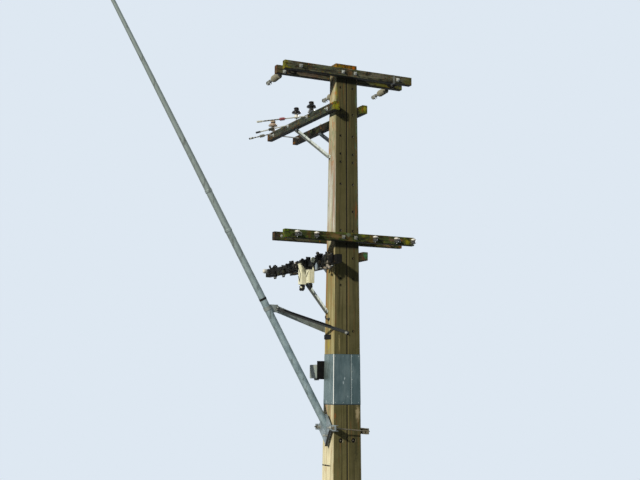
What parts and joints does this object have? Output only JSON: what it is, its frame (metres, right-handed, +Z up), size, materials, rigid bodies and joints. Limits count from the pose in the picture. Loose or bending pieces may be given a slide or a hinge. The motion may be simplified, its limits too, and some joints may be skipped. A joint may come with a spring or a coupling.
{
  "type": "twin concrete utility pole",
  "caption": "Two prestressed concrete poles bolted side by side, carrying timber crossarms, insulators and a raking streetlight arm.",
  "frame": {"origin": "at ground level, on the joint between the two poles, in the middle of their depth", "axes": "+Z up, +X to the right along the front faces, +Y to the back"},
  "size_m": [7.5173, 3.06, 12.5802],
  "materials": {
    "black_plastic": "weathered black plastic",
    "black_steel": "black paint on a steel plate",
    "composite": "weathered ribbed composite",
    "composite_dark": "dark red-brown ribbed composite",
    "concrete": "weathered prestressed concrete",
    "cream_plastic": "weathered cream plastic",
    "galvanised": "dull galvanised steel",
    "grey_plastic": "weathered grey plastic",
    "lamp_shell": "pale grey paint",
    "lens": "clear moulded lens",
    "porcelain_dark": "dark glazed porcelain",
    "porcelain_white": "white glazed porcelain",
    "sheet": "weathered sheet metal",
    "timber": "weathered hardwood with lichen"
  },
  "bodies": {
    "root": {"clamp_channel_left": "galvanised", "clamp_channel_right": "galvanised", "clamp_rods": "galvanised", "fuse_boxes": "cream_plastic", "fuse_holders": "black_plastic", "insulator_pins": "galvanised", "junction_box": "grey_plastic", "junction_bracket": "black_steel", "light_arm_foot": "galvanised", "light_arm_head": "galvanised", "light_arm_lower": "galvanised", "light_arm_middle": "galvanised", "light_arm_upper": "galvanised", "light_tie_back": "galvanised", "light_tie_collar": "galvanised", "light_tie_front": "galvanised", "low_arm_back": "timber", "low_arm_bolts": "galvanised", "low_arm_front": "timber", "low_spool_irons": "galvanised", "low_spools_back": "porcelain_white", "low_spools_front": "porcelain_white", "luminaire_body": "lamp_shell", "luminaire_lens": "lens", "luminaire_sensor": "black_plastic", "pin_insulators": "porcelain_dark", "pole_left": "concrete", "pole_right": "concrete", "pole_straps": "galvanised", "service_arm_bolts": "galvanised", "service_arm_left": "timber", "service_arm_right": "timber", "service_brace_left": "galvanised", "service_brace_right": "galvanised", "sheet_guard": "sheet", "side_arm_bolts": "galvanised", "side_arm_left": "timber", "side_arm_right": "timber", "side_brace_left": "galvanised", "side_brace_right": "galvanised", "side_strain_strings": "composite_dark", "strain_clamps": "galvanised", "top_arm_back": "timber", "top_arm_bolts": "galvanised", "top_arm_front": "timber", "top_strain_strings": "composite"}
  },
  "joints": []
}
